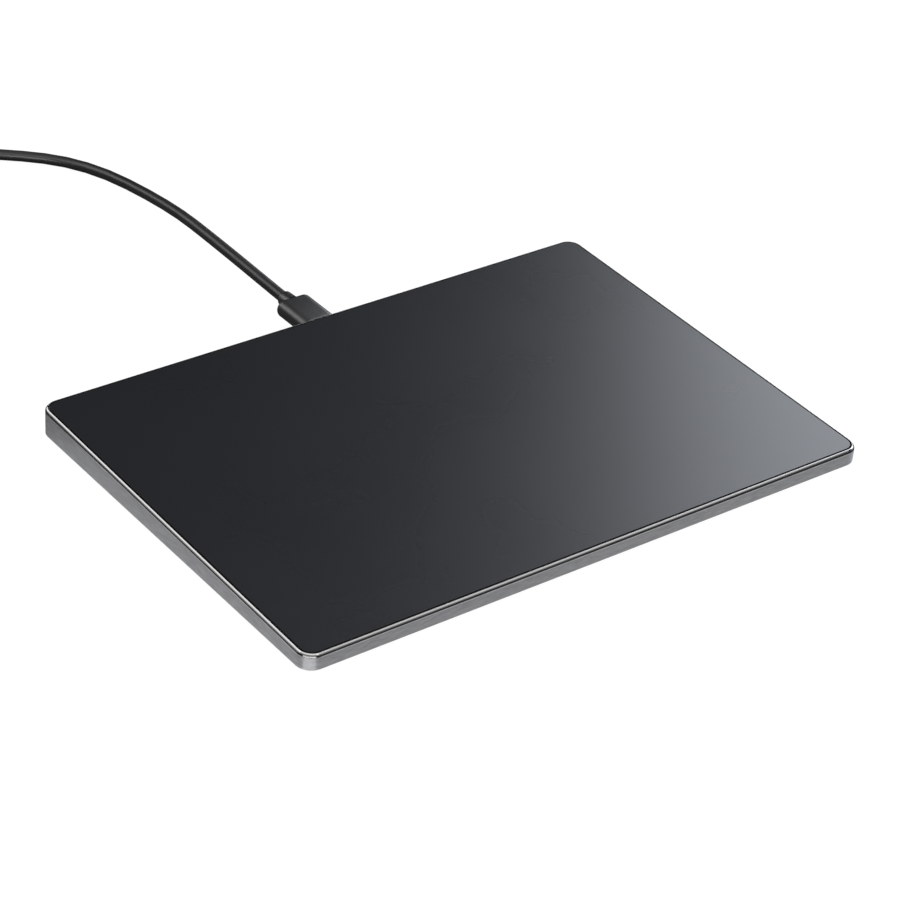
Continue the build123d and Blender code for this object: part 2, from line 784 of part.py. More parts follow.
def make_plug_relief(seat):
    """The short tapered relief between the body and the cord."""
    with BuildPart() as piece:
        with BuildSketch(seat.offset(plug_body_length)):
            Circle(relief_diameter / 2)
        extrude(amount=relief_length, taper=relief_taper)
        fillet(piece.faces().sort_by(Axis.Y)[-1].edges(), radius=relief_round)
    return piece


def plug_seat(x, y, z):
    """The seat plane of a plug that faces the front, with its cord going back."""
    return Plane(origin=(x, y, z), x_dir=(1, 0, 0), z_dir=(0, 1, 0))


# Cord: a hand-made route of points from the plug, then a coil wound by formula, then a short tail
cord_radius = cord_diameter / 2
cord_section = pi * cord_radius**2
plug_y = half_depth + plug_standoff
cord_start = Vector(0, plug_y + plug_body_length + relief_length, plug_axis)
coil_level = tie_thickness + tie_clearance + cord_radius
coil_pitch = cord_diameter + coil_gap
coil_inner = coil_radius - coil_turns_in * coil_pitch
coil_turns = coil_turns_in + coil_turns_over + coil_turns_out
coil_middle = cord_start + Vector(coil_x, coil_forward, 0)


def coil_place(turn):
    """Centre line after this many turns: spiralling in, climbing a layer, spiralling out."""
    over = (turn - coil_turns_in) / coil_turns_over
    if over < 0:
        radius = coil_radius - turn * coil_pitch
        climb = 0
    elif over < 1:
        radius = coil_inner - coil_pitch * coil_turns_over * over * (1 - over)
        climb = over * over * (3 - 2 * over)
    else:
        radius = coil_inner + (turn - coil_turns_in - coil_turns_over) * coil_pitch
        climb = 1
    angle = radians(coil_start_angle) + 2 * pi * turn
    return Vector(
        coil_middle.X + radius * cos(angle),
        coil_middle.Y + radius * sin(angle),
        coil_level + climb * coil_pitch,
    )


def coil_heading(turn):
    """Direction of the centre line there, from two places a thousandth of a turn apart."""
    step_share = 0.0005
    before = coil_place(max(turn - step_share, 0))
    after = coil_place(min(turn + step_share, coil_turns))
    return (after - before).normalized()


def arc_joint(start, start_heading, end, end_heading):
    """Where two arcs meet that leave start and reach end along these headings."""
    chord = end - start
    both = start_heading + end_heading
    spread = 2 * (1 - start_heading.dot(end_heading))
    lean_in = chord.dot(both)
    reach = (sqrt(lean_in**2 + spread * chord.dot(chord)) - lean_in) / spread
    return (start + end + (start_heading - end_heading) * reach) / 2


def corner_radii(points):
    """The widest even arc for each corner of a route: 0.45 of its shorter run."""
    run_share = 0.45
    radii = []
    for before, corner, after in zip(points, points[1:], points[2:]):
        run_in = corner - before
        run_out = after - corner
        half_turn = radians(run_in.get_angle(run_out)) / 2
        radii.append(run_share * min(run_in.length, run_out.length) / tan(half_turn))
    return radii


def make_tube(points, name):
    """A cord tube along straight runs and tangent arcs; prints its bends and its length."""
    radii = corner_radii(points)
    with BuildPart() as piece:
        with BuildLine() as path:
            FilletPolyline(*points, radius=radii)
        with BuildSketch(Plane(origin=path.line @ 0, z_dir=path.line % 0)):
            Circle(cord_radius)
        sweep(path=path.line)
    length = path.wire().length
    print(name, "bend radii", [round(radius, 1) for radius in radii])
    print(name, "length", round(length, 1), "volume share", piece.part.volume / (cord_section * length))
    return piece, length


# The coil's centre line: two arcs for each quarter turn, and a straight end of one diameter
coil_quarters = round(4 * coil_turns)
quarter_turns = [quarter * coil_turns / coil_quarters for quarter in range(coil_quarters + 1)]
coil_points = [coil_place(turn) for turn in quarter_turns]
coil_headings = [coil_heading(turn) for turn in quarter_turns]
coil_entry = coil_points[0] - coil_headings[0] * cord_diameter
coil_exit = coil_points[-1] + coil_headings[-1] * cord_diameter

with BuildPart() as cord_coil:
    with BuildLine() as coil_path:
        Line(coil_entry, coil_points[0])
        for quarter in range(coil_quarters):
            start = coil_points[quarter]
            end = coil_points[quarter + 1]
            middle = arc_joint(start, coil_headings[quarter], end, coil_headings[quarter + 1])
            first = TangentArc(start, middle, tangent=coil_headings[quarter])
            TangentArc(middle, end, tangent=first % 1)
        Line(coil_points[-1], coil_exit)
    with BuildSketch(Plane(origin=coil_entry, z_dir=coil_headings[0])):
        Circle(cord_radius)
    sweep(path=coil_path.line)
cord_coil.part.label = "cord_coil"
export_step(cord_coil.part, "parts/cord_coil.step")

# Least gap between turns, from points along the centre line that are over half a turn apart
samples_per_turn = 48
sample_count = round(samples_per_turn * coil_turns)
samples = [tuple(coil_place(index * coil_turns / sample_count)) for index in range(sample_count + 1)]
least_gap = min(
    dist(place, other)
    for index, place in enumerate(samples)
    for other in samples[index + samples_per_turn // 2 :]
)
coil_length = coil_path.wire().length
coil_volume_share = cord_coil.part.volume / (cord_section * coil_length)
print("cord_coil length", round(coil_length, 1), "volume share", coil_volume_share)
print("cord_coil least gap between turns", round(least_gap - cord_diameter, 3))

# The stretch from the plug: level behind the pad, down to the table, then round into the coil
cord_route = [
    cord_start,
    cord_start + Vector(0, 44, 0),
    Vector(cord_start.X - 4, cord_start.Y + 88, cord_radius),
    Vector(cord_start.X - 20, cord_start.Y + 109, cord_radius),
    coil_entry - coil_headings[0] * coil_lead,
    coil_entry,
]
cord, cord_length = make_tube(cord_route, "cord")
cord.part.label = "cord"
export_step(cord.part, "parts/cord.step")

# The tail comes down from the upper layer to the far plug, which lies on the table
far_level = plug_body_height / 2
tail_bend = coil_exit + coil_headings[-1] * tail_straight
tail_end = Vector(tail_bend.X, tail_bend.Y - tail_drop - tail_straight, far_level)
tail_route = [coil_exit, tail_bend, tail_end + Vector(0, tail_straight, 0), tail_end]
cord_tail, tail_length = make_tube(tail_route, "cord_tail")
cord_tail.part.label = "cord_tail"
export_step(cord_tail.part, "parts/cord_tail.step")
print("whole cord", round(cord_length + coil_length + tail_length, 1))

# Tie: a flat strap round all the turns at one place of the coil
with BuildPart() as coil_tie:
    tie_turn = (tie_angle - coil_start_angle) / 360
    tie_direction = radians(tie_angle)
    turns_there = [tie_turn + lap for lap in range(round(coil_turns)) if tie_turn + lap <= coil_turns]
    radii_there = [
        dist(tuple(coil_place(turn))[:2], (coil_middle.X, coil_middle.Y)) for turn in turns_there
    ]
    inner_side = min(radii_there) - cord_radius - tie_slack
    outer_side = max(radii_there) + cord_radius + 2 * tie_clearance
    tie_height = coil_pitch + cord_diameter + 2 * tie_clearance
    tie_radius = (inner_side + outer_side) / 2
    tie_plane = Plane(
        origin=(
            coil_middle.X + tie_radius * cos(tie_direction),
            coil_middle.Y + tie_radius * sin(tie_direction),
            tie_thickness + tie_height / 2,
        ),
        x_dir=(cos(tie_direction), sin(tie_direction), 0),
        z_dir=(-sin(tie_direction), cos(tie_direction), 0),
    )
    with BuildSketch(tie_plane):
        RectangleRounded(
            outer_side - inner_side + 2 * tie_thickness,
            tie_height + 2 * tie_thickness,
            tie_round + tie_thickness,
        )
        RectangleRounded(outer_side - inner_side, tie_height, tie_round, mode=Mode.SUBTRACT)
    extrude(amount=tie_width / 2, both=True)
coil_tie.part.label = "coil_tie"
export_step(coil_tie.part, "parts/coil_tie.step")

# Near plug in the socket, and the far plug at the end of the tail
far_plug_y = tail_end.Y - relief_length - plug_body_length
seats = {
    "": plug_seat(0, plug_y, plug_axis),
    "far_": plug_seat(tail_end.X, far_plug_y, far_level),
}
makers = {
    "plug_shell": make_plug_shell,
    "plug_insert": make_plug_insert,
    "plug_body": make_plug_body,
    "plug_relief": make_plug_relief,
}
for prefix, seat in seats.items():
    for piece_name, maker in makers.items():
        plug_piece = maker(seat)
        plug_piece.part.label = prefix + piece_name
        export_step(plug_piece.part, f"parts/{prefix}{piece_name}.step")

# Values that a motion study of the pad needs
plate_front = -half_depth + glass_inset
press_angle = press_travel / (hinge_y - plate_front)
print("front and back height on the table", front_height + foot_stand, back_height + foot_stand)
print("hinge axis y, z", hinge_y, hinge_z)
print("press angle in degrees", degrees(press_angle))
print("plunger travel", press_angle * (hinge_y - switch_y), "per radian", hinge_y - switch_y)
print("plug axis height", plug_axis, "socket mouth y", socket_mouth_y)
print("cord start", cord_start, "coil middle", coil_middle, "coil entry", coil_entry)
print("coil exit", coil_exit, "tail bend", tail_bend, "tail end", tail_end, "far plug y", far_plug_y)
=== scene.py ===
# %% [markdown]
# # A click trackpad with its data cord
#
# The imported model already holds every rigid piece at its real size. This lesson dresses it: it
# sets up the photograph's camera, a plain white studio, the finishes, and the few pieces that are
# soft or that show their surface from close by. Sizes are in metres, and the frame is the
# model's own: X to the user's right, Y away from the user, Z up from the table.

# %% Load the fixed frame
import math

import bpy
import numpy as np
from mathutils import Matrix, Quaternion, Vector


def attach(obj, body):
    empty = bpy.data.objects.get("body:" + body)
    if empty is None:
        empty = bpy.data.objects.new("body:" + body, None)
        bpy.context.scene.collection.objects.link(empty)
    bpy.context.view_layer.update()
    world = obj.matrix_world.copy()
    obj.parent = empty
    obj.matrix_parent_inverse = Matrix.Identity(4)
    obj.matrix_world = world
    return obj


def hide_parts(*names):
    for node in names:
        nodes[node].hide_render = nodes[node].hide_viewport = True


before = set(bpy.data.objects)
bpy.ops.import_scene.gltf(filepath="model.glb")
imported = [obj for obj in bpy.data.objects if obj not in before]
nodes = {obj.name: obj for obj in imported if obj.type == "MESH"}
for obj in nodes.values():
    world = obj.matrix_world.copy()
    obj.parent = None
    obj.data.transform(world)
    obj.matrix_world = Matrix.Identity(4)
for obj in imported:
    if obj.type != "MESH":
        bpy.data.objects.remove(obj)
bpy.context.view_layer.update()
millimetre = 0.001

# %% The pad's measures, in millimetres
pad_half_width = 80.0
pad_half_depth = 56.0
pad_corner = 4.0
top_rise = 3.0
top_middle = 6.4492
top_lean = math.atan2(top_rise, 2 * pad_half_depth)
slant_half = pad_half_depth / math.cos(top_lean)
print("the top leans by", round(math.degrees(top_lean), 3), "degrees")

# %% [markdown]
# ## The camera
#
# The pad's straight edges were traced in the photograph and a camera was solved from them. It
# stands in front of the pad's left corner, about seven tenths of a metre away, and looks down by
# about a third of a right angle. The lens is a long one, and the picture leans by four degrees.

# %% Place the camera from the solved view
picture_size = 900
sensor_width = 36.0
focal_pixels = 2980.5
camera_place = Vector((-0.37285, -0.46411, 0.38416))
view_azimuth = math.radians(38.7305)
view_drop = math.radians(32.870)
view_lean = math.radians(-4.223)
clip_near = 0.01


def camera_axes(azimuth, drop, lean):
    """Right, up and backward directions of a camera turned by these angles, in that order."""
    forward = Vector(
        (
            math.sin(azimuth) * math.cos(drop),
            math.cos(azimuth) * math.cos(drop),
            -math.sin(drop),
        )
    )
    level_right = forward.cross(Vector((0, 0, 1))).normalized()
    level_up = level_right.cross(forward)
    right = level_right * math.cos(lean) - level_up * math.sin(lean)
    up = level_right * math.sin(lean) + level_up * math.cos(lean)
    return right, up, -forward


def make_camera():
    """A camera with the photograph's focal length and view, made the scene's own."""
    data = bpy.data.cameras.new("photo_camera")
    data.sensor_width = sensor_width
    data.lens = focal_pixels * sensor_width / picture_size
    data.clip_start = clip_near
    camera = bpy.data.objects.new("photo_camera", data)
    bpy.context.scene.collection.objects.link(camera)
    turn = Matrix(camera_axes(view_azimuth, view_drop, view_lean)).transposed()
    camera.matrix_world = Matrix.Translation(camera_place) @ turn.to_4x4()
    bpy.context.scene.camera = camera
    return camera


camera = make_camera()
print("lens", round(camera.data.lens, 2), "mm")

# %% [markdown]
# ## The cord
#
# A data cord is one flexible round lead. It leaves the plug straight and level, sinks to the table,
# and the length that the photograph doesn't show is wound up for storage beside the pad, outside
# the view. A tube swept with numpy would do, but a curve with a round bevel keeps its route as a
# few places, and one smooth spline over them bends as a real lead does. The places are chosen
# along the model's own route, and the coil's turns come from a formula.

# %% The coil's places
cord_diameter = 3.0 * millimetre
coil_middle = (-68.0, 169.2)
coil_level = 2.15
coil_radius = 24.7
coil_pitch = 3.5
turns_in = 3.5
turns_over = 0.5
turns_out = 3.25
coil_start_degrees = 90.0
points_a_turn = 24


def coil_places():
    """Spiral in, climb one layer, spiral out.

    The radius falls by one pitch a turn, stays while a smooth step lifts the lead by one pitch,
    and then grows by one pitch a turn. The angle starts at the back and runs anticlockwise.
    """
    total = turns_in + turns_over + turns_out
    turn = np.linspace(0, total, round(total * points_a_turn) + 1)
    over = np.clip((turn - turns_in) / turns_over, 0, 1)
    inner = coil_radius - turns_in * coil_pitch
    outwards = np.maximum(turn - turns_in - turns_over, 0)
    radius = coil_radius - np.minimum(turn, turns_in) * coil_pitch
    radius = radius - coil_pitch * turns_over * over * (1 - over) + outwards * coil_pitch
    angle = np.radians(coil_start_degrees + 360 * turn)
    x = coil_middle[0] + radius * np.cos(angle)
    y = coil_middle[1] + radius * np.sin(angle)
    z = coil_level + coil_pitch * over**2 * (3 - 2 * over)
    print("coil points", len(turn), "inner radius", inner, "mm")
    return np.stack([x, y, z], axis=1)


# %% The whole route, in millimetres
plug_axis_height = 5.049377
far_axis_height = 2.4
far_axis_x = -92.1
cord_start = (0.0, 73.2, plug_axis_height)
route_before = [
    (0.0, 70.4, plug_axis_height),
    cord_start,
    (0.0, 103.2, 5.9),
    (0.0, 127.0, 5.9),
    (-2.5, 165.0, 1.5),
    (-20.0, 182.2, 1.5),
    (-45.0069, 194.4533, 2.15),
    (-65.0009, 193.972, 2.15),
]
route_after = [
    (-91.9, 166.2, 5.65),
    (far_axis_x, 158.2, 5.65),
    (far_axis_x, 146.2, far_axis_height),
    (far_axis_x, 136.2, far_axis_height),
]
route = np.concatenate([route_before, coil_places(), route_after]) * millimetre
print("route points", len(route))


# %% One smooth spline with a round section
spline_order = 3
spline_steps = 4
section_steps = 7


def smooth_lead(name, points, diameter):
    """A curve object with one open spline of these control points and a round section.

    The bevel is one metre deep, and each point's radius scales it down to the lead's own radius.
    """
    curve = bpy.data.curves.new(name, "CURVE")
    curve.dimensions = "3D"
    curve.resolution_u = spline_steps
    curve.bevel_depth = 1.0
    curve.bevel_resolution = section_steps
    curve.use_fill_caps = True
    spline = curve.splines.new("NURBS")
    spline.points.add(len(points) - 1)
    weighted = np.column_stack([points, np.ones(len(points))])
    spline.points.foreach_set("co", weighted.ravel())
    spline.points.foreach_set("radius", np.full(len(points), diameter / 2))
    spline.order_u = spline_order
    spline.use_endpoint_u = True
    piece = bpy.data.objects.new(name, curve)
    bpy.context.scene.collection.objects.link(piece)
    return piece


data_cord = smooth_lead("data_cord", route, cord_diameter)
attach(data_cord, "cable")
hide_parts("cord", "cord_coil", "cord_tail")
print("cord of", len(route), "places")

# %% [markdown]
# ## The studio
#
# Product pictures of dark shiny things are made on a white table in a dark room, with a few large
# soft lamps. The table right beside the object shows white in its walls, and here that white is a
# painted pool of light on the floor. The dark room shows as the dark line under the rim, which a
# painted shadow line in the metal's colour deepens, and each lamp draws one clean bright edge. So
# the world is a dark room to reflections, an even pale light to matt surfaces, and plain white
# behind the object.

# %% Helpers that add shader nodes
def add_node(tree, kind, values=(), **settings):
    """A node of this kind with these settings.

    The values go with its inputs' names or numbers: another node's output is linked, and
    anything else becomes the input's own value.
    """
    node = tree.nodes.new(kind)
    for setting, value in settings.items():
        setattr(node, setting, value)
    for socket, value in dict(values).items():
        if isinstance(value, bpy.types.NodeSocket):
            tree.links.new(value, node.inputs[socket])
        else:
            node.inputs[socket].default_value = value
    return node


def math_node(tree, operation, *values):
    """The number that a Math node makes of these values or outputs."""
    numbered = dict(enumerate(values))
    return add_node(tree, "ShaderNodeMath", numbered, operation=operation).outputs["Value"]


def vector_node(tree, operation, *values, output="Vector"):
    """The vector, or the number, that a Vector Math node makes of these values or outputs."""
    numbered = dict(enumerate(values))
    return add_node(tree, "ShaderNodeVectorMath", numbered, operation=operation).outputs[output]


def smooth_step(tree, value, from_low, from_high, to_low, to_high):
    """The value's range stretched onto another one, with soft ends."""
    node = add_node(
        tree,
        "ShaderNodeMapRange",
        {
            "Value": value,
            "From Min": from_low,
            "From Max": from_high,
            "To Min": to_low,
            "To Max": to_high,
        },
        interpolation_type="SMOOTHSTEP",
    )
    return node.outputs["Result"]


print("node helpers ready")

# %% Light and white background from the world
background_white = (1.0, 1.0, 1.0, 1.0)
room_dark = 0.03
room_bright = 0.55
even_light = 0.28
pale_from = 0.55
pale_to = 0.95


def make_world():
    """White to the camera, an even light to matt surfaces, a dark room that pales overhead.

    The height of a direction is its Z, and the room pales between two such heights.
    """
    world = bpy.data.worlds.new("studio")
    bpy.context.scene.world = world
    world.use_nodes = True
    tree = world.node_tree
    tree.nodes.clear()
    path = add_node(tree, "ShaderNodeLightPath").outputs
    place = add_node(tree, "ShaderNodeTexCoord").outputs["Generated"]
    height = add_node(tree, "ShaderNodeSeparateXYZ", {0: place}).outputs["Z"]
    ceiling = smooth_step(tree, height, pale_from, pale_to, room_dark, room_bright)
    room = add_node(tree, "ShaderNodeBackground", {"Strength": ceiling}).outputs[0]
    matt = add_node(tree, "ShaderNodeBackground", {"Strength": even_light}).outputs[0]
    white = add_node(tree, "ShaderNodeBackground", {"Color": background_white}).outputs[0]
    seen = math_node(tree, "MAXIMUM", path["Is Camera Ray"], path["Is Transmission Ray"])
    by_gloss = add_node(tree, "ShaderNodeMixShader", {0: path["Is Glossy Ray"], 1: matt, 2: room})
    shown = add_node(tree, "ShaderNodeMixShader", {0: seen, 1: by_gloss.outputs[0], 2: white})
    add_node(tree, "ShaderNodeOutputWorld", {"Surface": shown.outputs[0]})
    print("world nodes", len(tree.nodes))


make_world()
bpy.context.scene.view_settings.view_transform = "Standard"

# %% [markdown]
# The floor is a wide sheet. Its own colour takes the object's shadow, and a steady white is added
# for the camera and for reflections, so that it reads as plain white paper without more light
# on the object. To reflections that white is a painted pool of light: it fades away from the pad,
# as the lit part of a table does, and the fade is measured from the pad's outline, in the floor's
# own coordinates.

# %% The floor
floor_half = 6.0
floor_colour = (0.08, 0.08, 0.08, 1.0)
floor_white = 0.95
lit_near = 8.0 * millimetre
lit_far = 32.0 * millimetre
lit_middle = Vector((0.0, -10.0, 0.0)) * millimetre
lit_half = Vector((pad_half_width, 46.0, 0.0)) * millimetre


def floor_material():
    """Matt floor plus a white that the camera sees everywhere and gloss sees near the pad, where it
    is a painted pool of light.

    The distance from the lit part is the length of what is left of the absolute place about its
    middle after its half size is taken away, with negative parts set to zero.
    """
    material = bpy.data.materials.new("floor_paper")
    material.use_nodes = True
    tree = material.node_tree
    tree.nodes.clear()
    path = add_node(tree, "ShaderNodeLightPath").outputs
    place = add_node(tree, "ShaderNodeTexCoord").outputs["Object"]
    about = vector_node(tree, "SUBTRACT", place, lit_middle)
    beyond = vector_node(tree, "SUBTRACT", vector_node(tree, "ABSOLUTE", about), lit_half)
    kept = vector_node(tree, "MAXIMUM", beyond, (0.0, 0.0, 0.0))
    distance = vector_node(tree, "LENGTH", kept, output="Value")
    # painted pool of light: what reflections see of the floor is white near the pad and dark
    # further away
    fade = smooth_step(tree, distance, lit_near, lit_far, floor_white, room_dark)
    seen = math_node(tree, "MAXIMUM", path["Is Camera Ray"], path["Is Transmission Ray"])
    direct = math_node(tree, "MULTIPLY", seen, floor_white)
    glossy = math_node(tree, "MULTIPLY", path["Is Glossy Ray"], fade)
    strength = math_node(tree, "ADD", direct, glossy)
    matt = add_node(tree, "ShaderNodeBsdfDiffuse", {"Color": floor_colour}).outputs[0]
    steady = add_node(tree, "ShaderNodeEmission", {"Strength": strength}).outputs[0]
    total = add_node(tree, "ShaderNodeAddShader", {0: matt, 1: steady}).outputs[0]
    add_node(tree, "ShaderNodeOutputMaterial", {"Surface": total})
    print("floor nodes", len(tree.nodes))
    return material


def make_floor():
    """One square sheet in the table's plane."""
    corners = np.array([(-1, -1, 0), (1, -1, 0), (1, 1, 0), (-1, 1, 0)]) * floor_half
    mesh = bpy.data.meshes.new("floor")
    mesh.from_pydata(corners.tolist(), [], [(0, 1, 2, 3)])
    mesh.materials.append(floor_material())
    floor = bpy.data.objects.new("floor", mesh)
    bpy.context.scene.collection.objects.link(floor)


make_floor()

# %% [markdown]
# Six soft lamps stand round the table. Each is placed by the direction in which a reflection
# meets it: one behind the left edge for its bright rim and a low one behind the left corner, one
# at the front right for the front rim, one overhead for the rim's corners, a low one on the
# viewer's side for the bright band on the near corner of the wall, and a large cool one at
# the right that spreads over the satin glass and ends in a soft edge at its middle.


# %% Soft lamps
def soft_lamp(name, azimuth, elevation, distance, width, height, radiance, lean):
    """An area lamp that faces the pad, leaning by an angle in its own plane.

    Its power is pi times area times radiance.
    """
    data = bpy.data.lights.new(name, "AREA")
    data.shape = "RECTANGLE"
    data.size = width
    data.size_y = height
    data.energy = math.pi * width * height * radiance
    lamp = bpy.data.objects.new(name, data)
    bpy.context.scene.collection.objects.link(lamp)
    turn = math.radians(azimuth)
    lift = math.radians(elevation)
    towards = Vector(
        (math.sin(turn) * math.cos(lift), math.cos(turn) * math.cos(lift), math.sin(lift))
    )
    lamp.location = towards * distance
    facing = towards.to_track_quat("Z", "Y") @ Quaternion((0, 0, 1), math.radians(lean))
    lamp.rotation_euler = facing.to_euler()
    lamp.visible_camera = False
    print(name, "power", round(data.energy, 2), "W")
    return data


# Azimuth and elevation in degrees, distance, width and height in metres, radiance, lean in degrees
lamp_settings = {
    "lamp_back_left": (-40.0, 33.0, 1.6, 1.3, 0.7, 2.1, 0.0),
    "lamp_back_low": (-15.0, 10.0, 1.8, 1.1, 0.3, 2.2, 36.0),
    "lamp_front_right": (138.0, 43.0, 1.6, 1.6, 0.6, 1.3, 0.0),
    "lamp_overhead": (-127.0, 59.0, 1.5, 3.1, 0.7, 1.5, 0.0),
    "lamp_viewer_side": (-136.0, 14.0, 1.4, 2.0, 0.4, 7.0, 0.0),
    "lamp_right": (79.3, 30.5, 1.5, 1.45, 1.4, 4.5, 31.0),
}
cool_light = (0.885, 0.925, 1.0)
lamps = {name: soft_lamp(name, *settings) for name, settings in lamp_settings.items()}
lamps["lamp_right"].color = cool_light

# %% [markdown]
# ## Tools for the finishes
#
# Every finish here is a Principled shader with its plain values set on its own sockets, and a few
# procedural patterns for what varies: the grain, the streaks, the small ups and downs. Nearly all
# patterns read Object coordinates, which are metres in the model's frame, so a grain has the same
# size on every piece and doesn't swim when a piece moves.


# %% Helpers that build a finish
def finish(name, **values):
    """A material whose Principled shader has these values on its own sockets."""
    material = bpy.data.materials.new(name)
    material.use_nodes = True
    shader = material.node_tree.nodes["Principled BSDF"]
    for socket, value in values.items():
        shader.inputs[socket.replace("_", " ")].default_value = value
    return material


def into(material, socket, value):
    """Link a pattern into one of the Principled shader's sockets."""
    tree = material.node_tree
    tree.links.new(value, tree.nodes["Principled BSDF"].inputs[socket])


def grey(value):
    """A neutral colour."""
    return (value, value, value, 1.0)


print("finish helpers ready")


# %% Helpers that make patterns
def object_place(material, stretch=(1, 1, 1)):
    """Object coordinates, stretched by a Mapping node."""
    tree = material.node_tree
    place = add_node(tree, "ShaderNodeTexCoord").outputs["Object"]
    return add_node(tree, "ShaderNodeMapping", {"Scale": stretch, "Vector": place}).outputs[0]


def noise(material, size_mm, detail=3.0, rough=0.55, stretch=(1, 1, 1)):
    """A noise whose blobs are about this many millimetres across."""
    values = {
        "Scale": 1.0 / (size_mm * millimetre),
        "Detail": detail,
        "Roughness": rough,
        "Vector": object_place(material, stretch),
    }
    return add_node(material.node_tree, "ShaderNodeTexNoise", values).outputs["Fac"]


def fine_lines(material, place, direction, pitch_mm):
    """Even waves along a direction of the place, this many millimetres apart.

    The node draws ten waves for every pi units of its scaled place, which gives its scale.
    """
    values = {
        "Scale": math.pi / 10 / (pitch_mm * millimetre),
        "Distortion": 0.0,
        "Vector": place,
    }
    tree = material.node_tree
    return add_node(tree, "ShaderNodeTexWave", values, bands_direction=direction).outputs["Fac"]


def spread(material, factor, low, high, start=0.3, end=0.7):
    """The factor stretched from start to end onto low to high."""
    values = {
        "From Min": start,
        "From Max": end,
        "To Min": low,
        "To Max": high,
        "Value": factor,
    }
    return add_node(material.node_tree, "ShaderNodeMapRange", values).outputs["Result"]


print("pattern helpers ready")


# %% Helpers that put patterns to use
def two_colours(material, factor, first, second):
    """A mix of two colours by a factor. The first can be another mix."""
    node = add_node(material.node_tree, "ShaderNodeMix", {"Factor": factor}, data_type="RGBA")
    colours_in = [socket for socket in node.inputs if socket.type == "RGBA"]
    if isinstance(first, bpy.types.NodeSocket):
        material.node_tree.links.new(first, colours_in[0])
    else:
        colours_in[0].default_value = first
    colours_in[1].default_value = second
    return [socket for socket in node.outputs if socket.type == "RGBA"][0]


def small_relief(material, height, depth_mm, strength):
    """Bump: the height pattern becomes ups and downs of this many millimetres."""
    values = {"Strength": strength, "Distance": depth_mm * millimetre, "Height": height}
    into(material, "Normal", add_node(material.node_tree, "ShaderNodeBump", values).outputs[0])


def grained(name, grain, colours, roughness, relief=None, **values):
    """A finish whose colour and roughness, and its relief if it has one, follow one noise.

    The grain is the noise's size in millimetres, detail and roughness, and maybe a stretch. The
    colours are two ends. The roughness is two ends, and maybe the part of the noise between them.
    The relief is a depth in millimetres and a strength.
    """
    material = finish(name, **values)
    pattern = noise(material, *grain)
    into(material, "Base Color", two_colours(material, pattern, *colours))
    into(material, "Roughness", spread(material, pattern, *roughness))
    if relief:
        small_relief(material, pattern, *relief)
    print(name, "nodes", len(material.node_tree.nodes))
    return material


print("tools for finishes ready")

# %% [markdown]
# ## Anodised metal
#
# The wall ring is brushed and anodised grey, so it is a soft metal with fine streaks along the
# wall. Such lines spread a reflection up and down but not sideways, which is what makes a bright
# band stand at each corner, so the shader is anisotropic with its tangent round the vertical
# axis. Along the shoulder the colour is darkened into a painted shadow line, and the metal there
# is smoother: the distance under the sloped top, a dot product with the top's normal, tells where.
# The rim itself is cut again after anodising, with a diamond tool, and has a bright finish of its
# own.

# %% Where the shoulder lies
# how deep the painted shadow line reaches under the sloped top, and how long its soft end is
painted_shadow_depth = 0.7
painted_shadow_fade = 0.1
polish_depth = 0.95
polish_fade = 0.15
top_normal = (0.0, -math.sin(top_lean), math.cos(top_lean))


def shoulder_mask(material, depth, fade):
    """One near the sloped top, zero deeper than this under it, and a ramp as long as the fade.

    The height along the top's normal is the dot product of the place and the normal.
    """
    place = object_place(material)
    height = vector_node(material.node_tree, "DOT_PRODUCT", place, top_normal, output="Value")
    foot = (top_middle * math.cos(top_lean) - depth) * millimetre
    return spread(material, height, 0.0, 1.0, foot, foot + fade * millimetre)


print("top normal", top_normal)

# %% The anodised finish
wall_dark = (0.305, 0.308, 0.317, 1.0)
wall_pale = (0.435, 0.439, 0.452, 1.0)
# painted shadow line: a dark grey that the metal takes along the shoulder, standing for shade under
# the rim
painted_shadow_grey = grey(0.11)
wall_roughness = (0.46, 0.54)
polish_roughness = 0.15


def anodised_finish():
    """Streaked brushed metal with a painted shadow line under the rim, and smoother there and just
    below.
    """
    material = finish(
        "anodised_grey",
        Metallic=1.0,
        Anisotropic=0.93,
        Anisotropic_Rotation=0.25,
        Specular_Tint=grey(0.2),
    )
    tree = material.node_tree
    around_z = add_node(tree, "ShaderNodeTangent", direction_type="RADIAL", axis="Z")
    into(material, "Tangent", around_z.outputs[0])
    brush = noise(material, 0.5, 3.0, 0.6, stretch=(0.25, 0.25, 4.0))
    streaks = noise(material, 0.9, 4.0, 0.65, stretch=(0.3, 0.3, 3.0))
    wall = two_colours(material, spread(material, streaks, 0.0, 1.0), wall_dark, wall_pale)
    # painted shade: along the shoulder the metal's colour is mixed towards the dark grey
    painted_shadow_line = shoulder_mask(material, painted_shadow_depth, painted_shadow_fade)
    into(material, "Base Color", two_colours(material, painted_shadow_line, wall, painted_shadow_grey))
    roughness = {
        "Factor": shoulder_mask(material, polish_depth, polish_fade),
        "A": spread(material, brush, *wall_roughness),
        "B": polish_roughness,
    }
    mixed = add_node(tree, "ShaderNodeMix", roughness, data_type="FLOAT").outputs["Result"]
    into(material, "Roughness", mixed)
    small_relief(material, brush, 0.002, 0.4)
    print("anodised_grey nodes", len(tree.nodes))
    return material


anodised = anodised_finish()

# %% The bright cut of the rim
cut_metal = grained(
    "bright_cut_metal",
    grain=(0.8, 2.0, 0.5, (0.3, 0.3, 3.0)),
    colours=(grey(0.33), grey(0.39)),
    roughness=(0.11, 0.15),
    Metallic=1.0,
)

# %% [markdown]
# ## Satin dark glass
#
# The touch surface is glass etched on top, so it reflects softly, and black behind. The etch shows
# as a broad sheen with a hardly visible grain. An even black with a wide soft highlight is all
# that it needs, and the roughness varies by two hundredths so that the sheen isn't perfect.
# The ground edge of the sheet is blackened and dull, and has a finish of its own.

